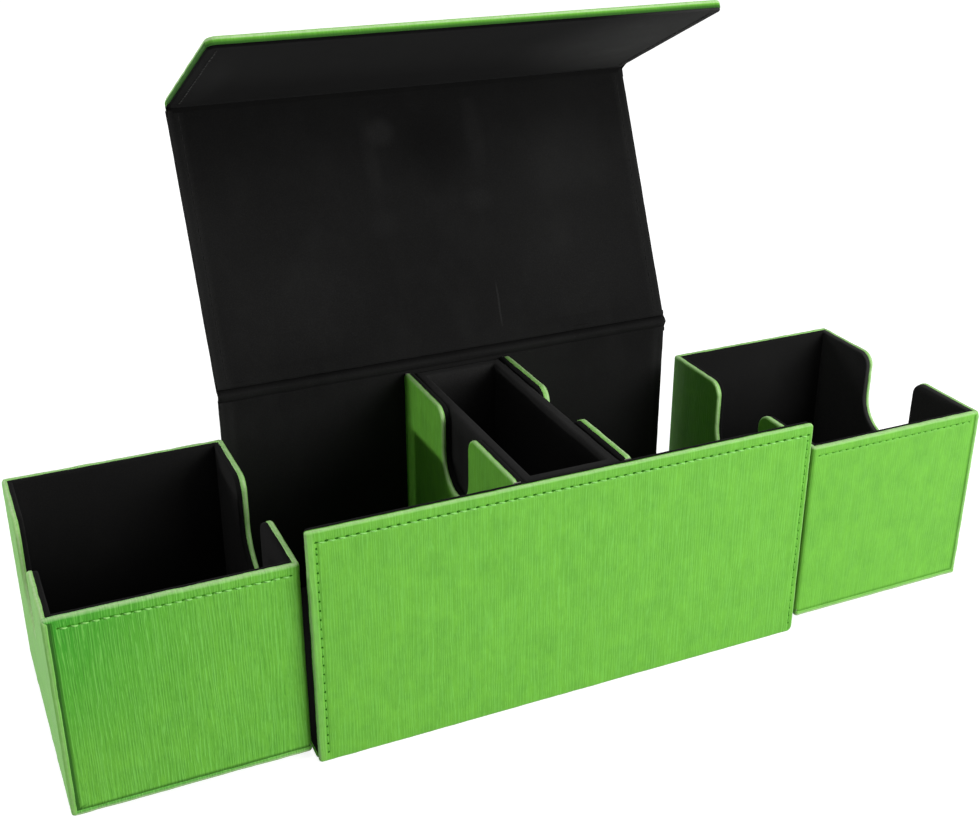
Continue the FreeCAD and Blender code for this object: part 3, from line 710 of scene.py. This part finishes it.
def front_panel():
    top, left, right = 88.7, -96.5, 97.9  # v of its top seam, and u of its side seams
    rows = [hole_row((left, top), (right, top)),
            [(left, 86.3), (left, 84.2), *hole_row((left, 80.7), (left, 3.9))],
            hole_row((right, top - 2.6), (right, 4.2))]
    lines = [((left, top), (right, top)), ((left, top), (left, 1)), ((right, top), (right, 1))]

    def left_edge_highlight(p, pale):  # painted highlight: a little paler past the left seam
        beyond = min(max((-97.0 - p[0]) / 0.8, 0.0), 1.0)
        return max(pale, 0.12 * beyond) if pale > -0.2 else pale

    sheet("front_wrap", "case", ["front_cover"], leather,
          Panel(*ENDS, 0, CASE_HEIGHT, (1.2, CORNER, 1.6, 0.9), step=FINE),
          rim(SHELL, inner=SEAM_RINGS), lifted(FRONT, WALL - SHELL),
          relief=seam_relief(lines, sum(rows, [])), seed=1, tone=left_edge_highlight)
    stitching("front_stitching", "case", LEATHER_SLOT, [thread_green, needle_shade, needle_shade_faint, thread_dull],
              (rows[:1], WALL - 0.28, FRONT, "dash", 1),
              (rows[1:2], WALL - 0.32, FRONT, "dots", 2, (3, 1)),
              (rows[2:], WALL - 0.32, FRONT, "faint", 3, (3, 2)))


def back_panel():
    rows = [hole_row((u, 90.6), (u, 4.0)) for u in SIDE_SEAMS]
    lines = [((u, 92), (u, 1)) for u in SIDE_SEAMS]
    sheet("back_wrap", "case", ["back_cover"], leather,
          Panel(*ENDS, 0, CASE_HEIGHT, (CORNER, CORNER, 0.8, 0.8), step=FINE),
          rim(WALL, inner=SEAM_RINGS), BACK, relief=seam_relief(lines, sum(rows, [])), seed=2)
    stitching("back_stitching", "case", LEATHER_SLOT, [thread_dull, needle_shade],
              (rows, WALL - 0.3, BACK, "dots", 3))
    edge_band("back_lining_velvet", "case", "back_lining", black, 1.9, CASE_HEIGHT + 0.2,
              lifted(BACK, -LINING), 3)


def case_inside():
    downwards = flat((0, 0, BASE_TOP), (1, 0, 0), (0, -1, 0))
    sheet("base_wrap", "case", ["base_cover"], leather,
          Panel(*ENDS, -PANEL_AT, PANEL_AT, 1.0, step=COARSE), rim(BASE_TOP, 0.4, 0.7),
          downwards, seed=4)
    sunk = 0.2  # how far the felt's back lies in the base
    sheet("base_felt", "case", ["base_lining"], black, Panel(-99.6, 99.6, -53.9, 53.9, 1.0, step=COARSE),
          rim(FELT_TOP - BASE_TOP + sunk, 0.1, 0.2, lip=0.4, tones=LINING_RIM_SHADE),
          flat((0, 0, BASE_TOP - sunk), (1, 0, 0), (0, 1, 0)), seed=5)
    thick = WALL - SHELL + LINING + LAP
    sheet("front_lining_velvet", "case", ["front_lining"], black,
          Panel(-99.7, 99.7, 1.9, CASE_HEIGHT - 0.2, 1.5, step=2.4), rim(thick, 0.2, 0.8, tones=LINING_RIM_SHADE),
          flat((0, -PANEL_AT - (thick - LINING), 0), (-1, 0, 0)), seed=6)


def divider(side, shell):
    """side is -1 for the left divider and 1 for the right one. shell is how thick the green is, and its height
    runs towards the drawer bay."""
    name = ("left" if side < 0 else "right") + "_divider"
    # wear and painted highlight on the rim's crest
    sheet(name + "_wrap", "case", [name + "_cover"], leather,
          Panel(-DIVIDER_HALF, DIVIDER_HALF, FELT_TOP, CASE_HEIGHT, slot=notch(*DIVIDER_NOTCH)),
          rim(shell, inner=PLAIN_RINGS, tones=(0.3, 1.0)),
          flat((side * (DIVIDER_OUT - shell), 0, 0), (0, side, 0)), seed=7 + side, wobble=0.16)
    thick = DIVIDER_OUT - shell + LAP - DIVIDER_LINED
    wide, deep = DIVIDER_NOTCH
    sheet(name + "_velvet", "case", [name + "_lining"], black,
          Panel(-DIVIDER_HALF, DIVIDER_HALF, FELT_TOP, CASE_HEIGHT - 0.2, 2.0, slot=notch(wide + 0.5, deep),
                step=MEDIUM),
          rim(thick, 0.2, 0.8, tones=LINING_RIM_SHADE),
          flat((side * (DIVIDER_LINED + thick), 0, 0), (0, -side, 0)), seed=9 + side, wobble=0.1)


# ---------------- the lid and its flap
LID, FLAP = leaning(HINGE, LID_LEAN), leaning(FOLD, FLAP_LEAN)
BOARD_FACE, LINED_FACE = -1, -2  # heights of their inner faces, without the velvet and with it


def lid_panel():
    sides = [hole_row((u, CREASE + 1.6), (u, LID_END - 1.6)) for u in SIDE_SEAMS]
    lines = [((u, 0), (u, LID_END + 3)) for u in SIDE_SEAMS]
    outside = lifted(LID, BOARD_FACE)
    sheet("lid_wrap", "lid", ["lid_cover"], leather,
          Panel(*ENDS, CREASE, LID_END, 0.8, step=FINE), rim(WALL, inner=SEAM_RINGS),
          outside, relief=seam_relief(lines, sum(sides, [])), seed=20)
    stitching("lid_stitching", "lid", LEATHER_SLOT, [thread_dull, needle_shade],
              (sides, WALL - 0.3, outside, "dots", 5))
    edge_band("lid_lining_velvet", "lid", "lid_lining", black_lid, CREASE - 0.2, LID_END + 0.2,
              lifted(LID, LINED_FACE), 21)
    inside = lambda u, v, t: LID(-u, v, LINED_FACE - t)
    seams = [hole_row((u, 4.5), (u, 110)) for u in FLAP_SEAMS]
    stitching("lid_lining_stitching", "lid", VELVET_SLOT, [thread_black, black],
              (seams, -0.15, inside, "faint", 6))


def flap_panel():
    edge = FLAP_END - 4.0
    across = [(u, edge) for u in FLAP_SEAMS]
    rows = [hole_row((u, CREASE + 1.6), (u, edge)) for u in FLAP_SEAMS] + [hole_row(*across)]
    lines = [((u, 0), (u, edge)) for u in FLAP_SEAMS] + [across]
    outside = lifted(FLAP, BOARD_FACE)
    # painted shade: the flap rim's inner side turns dark green, apart from its free edge
    sheet("flap_wrap", "flap", ["flap_cover"], leather,
          Panel(*ENDS, CREASE, FLAP_END, (0.8, 0.8, 4, 4), step=FINE),
          rim(WALL, inner=SEAM_RINGS, tones=(-1.0, 1.0)), outside,
          relief=seam_relief(lines, sum(rows, [])), seed=22,
          tone=lambda p, pale: pale if p[1] > FLAP_END - 3 or pale >= 0 else -1.0)
    stitching("flap_stitching", "flap", LEATHER_SLOT, [thread_dull, needle_shade],
              (rows, WALL - 0.3, outside, "dots", 7))
    inside = lambda u, v, t: FLAP(-u, v, BOARD_FACE - t)
    sheet("flap_lining_velvet", "flap", ["flap_lining"], black_flap,
          Panel(-99.5, 99.5, CREASE - 0.2, FLAP_END - 0.5, (0.6, 0.6, 3, 3), step=MEDIUM),
          rim(LINING, 0.1, 0.6, tones=LINING_RIM_SHADE), inside, seed=23, wobble=0.1)
    seams = [hole_row((u, 7.5), (u, edge)) for u in FLAP_SEAMS]
    stitching("flap_lining_stitching", "flap", VELVET_SLOT, [thread_grey, black],
              (seams, LINING - 0.05, inside, "faint", 8))


# ---------------- the creases
def bell(at, humps):
    """The height at a place along a line of humps, which are (place, height, width)."""
    return sum(high * math.exp(-(((at - place) / width) ** 2)) for place, high, width in humps)


def crease_path(axis, before, after, offset, reach=5.0, bumps=(), count=25):
    """A line in (y, z) across a crease, from reach before its axis to reach after it, offset towards the
    outside. before and after are the two boards' leans in degrees."""
    path = []
    for k in range(count):
        s = -reach + 2 * reach * k / (count - 1)
        f = min(max(s / 3.0, -1), 1) * 0.5 + 0.5
        f = f * f * (3 - 2 * f)
        turn = math.radians(before + (after - before) * f)
        lean = math.radians(before if s < 0 else after)
        rise = offset + bell(s, bumps)
        path.append((axis[0] + math.sin(lean) * s + math.cos(turn) * rise,
                     axis[1] + math.cos(lean) * s - math.sin(turn) * rise))
    return path


def crease(name, axis, leans, bodies, stands_for, end, inside, seed):
    """The skins that join two boards: leatherette outside, velvet inside. Each is shaped round the crease at
    rest.
    inside holds the velvet's offset, bumps, sway, tones and reach."""
    along = [Vector((0, math.sin(math.radians(a)), math.cos(math.radians(a)))) for a in leans]
    middle = Vector((0, *axis))
    bend = 2.0  # on each side of the axis
    span = (*bodies, (middle - along[0] * bend) * MM, (middle + along[1] * bend) * MM)
    outer = Skin()
    path = crease_path(axis, *leans, 1.05, bumps=((0, -0.15, 1.3),))
    outer.strip(path, (-99.9, 99.9), 0.7, [0.0] * len(path), wobble=0.1, seed=seed)
    outer.piece(name + "_crease_wrap", [leather], None, stands_for, LEATHER_SLOT, span)
    inner = Skin()
    offset, bumps, sway, tones, reach = inside
    path = crease_path(axis, *leans, offset, reach, bumps, 41)
    # painted shade and highlight across the crease's velvet
    shades = [bell(-reach + 2 * reach * k / (len(path) - 1), tones) for k in range(len(path))]
    inner.strip(path, (-end, end), 0.8, shades, wobble=sway, seed=seed + 1)
    inner.piece(name + "_crease_velvet", [black], None, (), VELVET_SLOT, span)


# The lid's crease has a soft ridge between two grooves. The flap's is a smooth hollow on both linings. Their
# velvet's tones paint shade into the grooves and the hollow, and a highlight along the ridge.
RIDGED = (-1.45, ((-2.1, 0.35, 0.9), (0.0, -0.75, 1.2), (2.3, 0.55, 1.0)), 0.3,
          ((-2.2, -0.45, 1.0), (-0.1, 0.40, 1.0), (2.2, -0.85, 1.5)), 4.4)
HOLLOW = (-1.66, ((-6.0, 0.16, 2.0), (6.0, 0.16, 2.0)), 0.02, ((0.0, -0.64, 40.0),), 6.0)


# ---------------- the tray
def tray():
    """One skin, up the tray's outside, over its rim and down its inside."""
    rings = [(2.0, TRAY_BOTTOM, 0.0)]
    rings += [(1.2 * s, TRAY_BOTTOM + 1.2 * c, 0.0) for s, c in quarter(4)]
    rings += [(0, z, 0.0) for z in (10, 30, 50, 70, 84)]
    # painted highlight: the rim's top is lighter than the walls
    rings += [(1.3 * c, TRAY_TOP - 1.3 * s, 0.9) for s, c in quarter(4)]
    rings += [(TRAY_WALL - 1.1 * s, TRAY_TOP - 1.1 * c, 0.9) for s, c in quarter(4)]
    rings += [(TRAY_WALL, z, 0.0) for z in (84, 60, 30, 10, TRAY_FLOOR)]
    nodes = ["tray_floor"] + [f"tray_{n}_wall" for n in ("front", "back", "left", "right")]
    sheet("card_tray", "tray", nodes, black,
          Panel(-TRAY_HALF, TRAY_HALF, -TRAY_HALF_LENGTH, TRAY_HALF_LENGTH, 1.4, step=2.0), rings,
          flat((0, 0, 0), (1, 0, 0), (0, 1, 0)), wobble=0.35, seed=30)


# ---------------- the drawers
# wear and painted highlight: the drawers' rims are pale, palest on their crests
DRAWER_TONES = (0.45, 0.95)


def drawer(name, at, side, skin_material, thread, seam_shade, seam_width, end_velvet, stitch):
    """side is -1 for the drawer that pulls out to the left. u is the distance from its inner end. The two seam
    arguments are how dark and how wide the shade painted into the sleeve's seam with the end panel is."""
    body = name + "_drawer"
    x = lambda u: at + side * u
    shell, tuck = 2.3, 1.4  # how thick the green is, and how far the sleeve goes into the end and the base
    end_thick, base_thick = 1.9, 2.1
    end_inside, base_top = END_OUTSIDE - end_thick, DRAWER_BOTTOM + base_thick
    corners = [(x(u), y) for u, y in ((end_inside, SLEEVE_HALF), (0, SLEEVE_HALF), (0, -SLEEVE_HALF),
                                      (end_inside, -SLEEVE_HALF))]
    bend = Bend(corners[::-1] if side < 0 else corners, 1.9, WALL)
    middle = bend.end / 2
    seam = DRAWER_TOP - 3.8
    spans = ((3.0, end_inside - 3.4), (bend.end - end_inside + 3.4, bend.end - 3.0))
    rows = [hole_row((a, seam), (b, seam), DRAWER_STITCH) for a, b in spans]
    groove = seam_relief([((a, seam), (b, seam)) for a, b in spans], sum(rows, []), depth=0.24)

    def sunk(p, pale):  # painted shade: the sleeve darkens into its seams with the end panel and the base
        if p[1] > DRAWER_TOP - 1.3 or (pale and middle - 25 < p[0] < middle + 25):
            return pale
        ends, low = min(p[0], bend.end - p[0]) + tuck, p[1] - base_top + tuck
        shade, width = (seam_shade, seam_width) if ends / seam_width < low / 1.1 else (0.8 * seam_shade, 1.1)
        return shade * min(max(1.5 - 1.5 * (min(ends, low) - tuck) / width, 0.0), 1.0)

    def end_tone(p, pale):  # wear and painted highlight, palest along the top and round the notch
        return pale if p[1] > DRAWER_TOP - 1 or abs(p[0]) < 25 else 0.5 * max(pale, 0)

    skin = Skin()
    skin.loft(Panel(-tuck, bend.end + tuck, base_top - tuck, DRAWER_TOP, 0.5,
                    slot=notch(*DRAWER_NOTCH, centre=middle), step=0.8),
              rim(shell, inner=SEAM_RINGS, tones=DRAWER_TONES), lifted(bend, WALL - shell),
              relief=groove, seed=40 + side, cuts=bend.cuts, wobble=0.16, tone=sunk)
    skin.loft(Panel(-DRAWER_HALF, DRAWER_HALF, DRAWER_BOTTOM, DRAWER_TOP, (1.2, 1.2, CORNER, CORNER),
                    slot=notch(*DRAWER_NOTCH)),
              rim(end_thick, 0.5, 0.9, inner=PLAIN_RINGS, tones=DRAWER_TONES),
              flat((x(end_inside), 0, 0), (0, side, 0)), seed=43 + side, material=1, wobble=0.2,
              tone=end_tone)
    base_half = END_OUTSIDE / 2
    skin.loft(Panel(-base_half, base_half, -DRAWER_HALF, DRAWER_HALF, 1.2, step=MEDIUM),
              rim(base_top - DRAWER_BOTTOM, 0.55, 0.9, tones=(0.1, 1.0)),
              flat((x(base_half), 0, base_top), (1, 0, 0), (0, -1, 0)), seed=46 + side, wobble=0.2)
    skin.piece(body + "_leather", [skin_material, leather], body, [body + "_wrap", body + "_sleeve"],
               LEATHER_SLOT)
    stitching(body + "_stitching", body, LEATHER_SLOT, [thread, needle_shade_faint],
              (rows, WALL - 0.22, bend, stitch, 9 + side))

    lining = Skin()
    soft = rim(WALL - shell + LINING + LAP, 0.2, 0.7, tones=LINING_RIM_SHADE)
    low, high = DRAWER_BASE_TOP, DRAWER_TOP - 0.18
    wall = SLEEVE_HALF - shell + LAP  # the outer face of the linings of the two long walls
    a, b = sorted((x(2.6), x(END_OUTSIDE - 1.7)))
    width, depth = DRAWER_NOTCH
    wide = Panel(-wall, wall, low, high, 0.5, slot=notch(width + 0.6, depth), step=MEDIUM)
    for turn, seed in ((-1, 50), (1, 51)):
        lining.loft(Panel(*sorted((turn * a, turn * b)), low, high, 0.5, step=2.0), soft,
                    flat((0, turn * wall, 0), (turn, 0, 0)), seed=seed, wobble=0.1)
    lining.loft(wide, soft, flat((x(end_inside + LAP), 0, 0), (0, -side, 0)), seed=52, wobble=0.1,
                material=1)
    lining.loft(wide, soft, flat((x(shell - LAP), 0, 0), (0, side, 0)), seed=53, wobble=0.1)
    lining.loft(Panel(a, b, -48, 48, 0.8, step=COARSE), rim(LINING, 0.2, 0.5, tones=LINING_RIM_SHADE),
                flat((0, 0, DRAWER_BASE_TOP), (1, 0, 0), (0, 1, 0)), seed=54)
    lining.piece(body + "_velvet", [black, end_velvet], body,
                 [f"{body}_{n}_lining" for n in ("end", "front", "back", "inner", "floor")], VELVET_SLOT)


front_panel()
back_panel()
case_inside()
divider(-1, 1.9)
divider(1, 2.7)
lid_panel()
flap_panel()
crease("lid", HINGE, (0.0, LID_LEAN), ("case", "lid"), ["lid_hinge_strip"], 100.6, RIDGED, 60)
crease("flap", FOLD, (LID_LEAN, FLAP_LEAN), ("lid", "flap"), ["flap_hinge_strip"], 100.3, HOLLOW, 64)
tray()
drawer("left", LEFT_DRAWER_AT, -1, leather_left_shaded, thread_green, -1.0, 1.8, black, "loop")
drawer("right", RIGHT_DRAWER_AT, 1, leather_right, thread_dull, -0.55, 1.1, black_dusty_lit, "faint")


# ---------------- camera, floor and light
IMAGE_WIDTH, FOCAL = 980, 1364.13  # in pixels
SENSOR = 36  # mm
CAMERA_AT = (-0.20336, -0.42976, 0.3143)
AZIMUTH, ELEVATION = -24.37, 24.99
WHITE = (1, 1, 1, 1)
FLOOR_HALF, FLOOR_AT = 3.0, -0.0001  # m
WORLD_STRENGTH = 0.033
LAMPS = (  # name, place, aim, size, watts
    ("right_softbox", (0.60, -0.85, 0.45), (0.05, 0, 0.05), (0.7, 0.5), 10.9),
    ("front_softbox", (0.15, -1.5, 0.5), (0.0, 0, 0.05), (0.9, 0.5), 3.0),
    ("top_softbox", (0.0, 0.0, 1.5), (0, 0, 0.05), (0.9, 0.6), 10),
    ("left_strip", (-1.3, 0.15, 0.203), (-0.1, 0, 0.08), (0.12, 0.04), 5.2),
    ("back_softbox", (-0.4, 1.5, 0.8), (0, 0, 0.1), (0.9, 0.6), 6),
)


def camera():
    data = bpy.data.cameras.new("camera")
    obj = placed("camera", data)
    data.sensor_width = SENSOR
    data.lens = FOCAL / IMAGE_WIDTH * SENSOR
    azimuth, elevation = math.radians(AZIMUTH), math.radians(ELEVATION)
    back = Vector((math.sin(azimuth) * math.cos(elevation), -math.cos(azimuth) * math.cos(elevation),
                   math.sin(elevation)))
    right = Vector((math.cos(azimuth), math.sin(azimuth), 0))
    turn = Matrix((right, back.cross(right), back)).transposed()
    obj.matrix_world = Matrix.Translation(CAMERA_AT) @ turn.to_4x4()
    bpy.context.scene.camera = obj


def seen_only(tree, seen, lit):
    """seen for camera, glossy and transmission rays, and lit for the rest."""
    path, first, second, mix = (tree.nodes.new("ShaderNode" + kind)
                                for kind in ("LightPath", "Math", "Math", "MixShader"))
    first.operation = second.operation = "MAXIMUM"
    for source, target in ((path.outputs["Is Camera Ray"], first.inputs[0]),
                           (path.outputs["Is Glossy Ray"], first.inputs[1]),
                           (first.outputs[0], second.inputs[0]),
                           (path.outputs["Is Transmission Ray"], second.inputs[1]),
                           (second.outputs[0], mix.inputs[0]), (lit, mix.inputs[1]), (seen, mix.inputs[2])):
        tree.links.new(source, target)
    return mix.outputs[0]


def floor():
    """Mid grey for the light, and white to the eye apart from the object's shadow."""
    mesh = bpy.data.meshes.new("floor")
    corners = [(x * FLOOR_HALF, y * FLOOR_HALF, FLOOR_AT) for x, y in ((-1, -1), (1, -1), (1, 1), (-1, 1))]
    mesh.from_pydata(corners, [], [(0, 1, 2, 3)])
    obj = placed("floor", mesh)
    m = Mat("studio_floor")
    m.put(m.shader, Base_Color=(0.4, 0.4, 0.4, 1), Roughness=0.9)
    shade = m.node("BsdfDiffuse", Color=(0.35, 0.35, 0.35, 1))
    far = m.node("VectorMath", {"operation": "LENGTH"}, i0=m.coords("Object")).outputs["Value"]
    glow = m.node("Emission", Color=WHITE, Strength=m.ramp(far, 0.15, 0.6, 0.88, 1.0))
    seen = m.node("AddShader", i0=shade.outputs[0], i1=glow.outputs[0])
    m.put(m.tree.nodes["Material Output"], Surface=seen_only(m.tree, seen.outputs[0], m.shader.outputs[0]))
    mesh.materials.append(m.material)


def world():
    """A faint even light that looks white to the eye."""
    studio = bpy.data.worlds.new("studio")
    bpy.context.scene.world = studio
    studio.use_nodes = True
    tree = studio.node_tree
    lit, seen = tree.nodes["Background"], tree.nodes.new("ShaderNodeBackground")
    for node, strength in ((lit, WORLD_STRENGTH), (seen, 1.0)):
        node.inputs["Color"].default_value = WHITE
        node.inputs["Strength"].default_value = strength
    surface = tree.nodes["World Output"].inputs["Surface"]
    tree.links.new(seen_only(tree, seen.outputs[0], lit.outputs[0]), surface)


def lamp(name, place, aim, size, energy):
    """A soft rectangular lamp at place that faces aim."""
    data = bpy.data.lights.new(name, "AREA")
    data.shape = "RECTANGLE"
    data.size, data.size_y = size
    data.energy = energy
    obj = placed(name, data)
    obj.location = place
    obj.rotation_euler = (Vector(aim) - Vector(place)).to_track_quat("-Z", "Y").to_euler()


camera()
floor()
world()
for row in LAMPS:
    lamp(*row)
bpy.context.scene.view_settings.view_transform = "Standard"
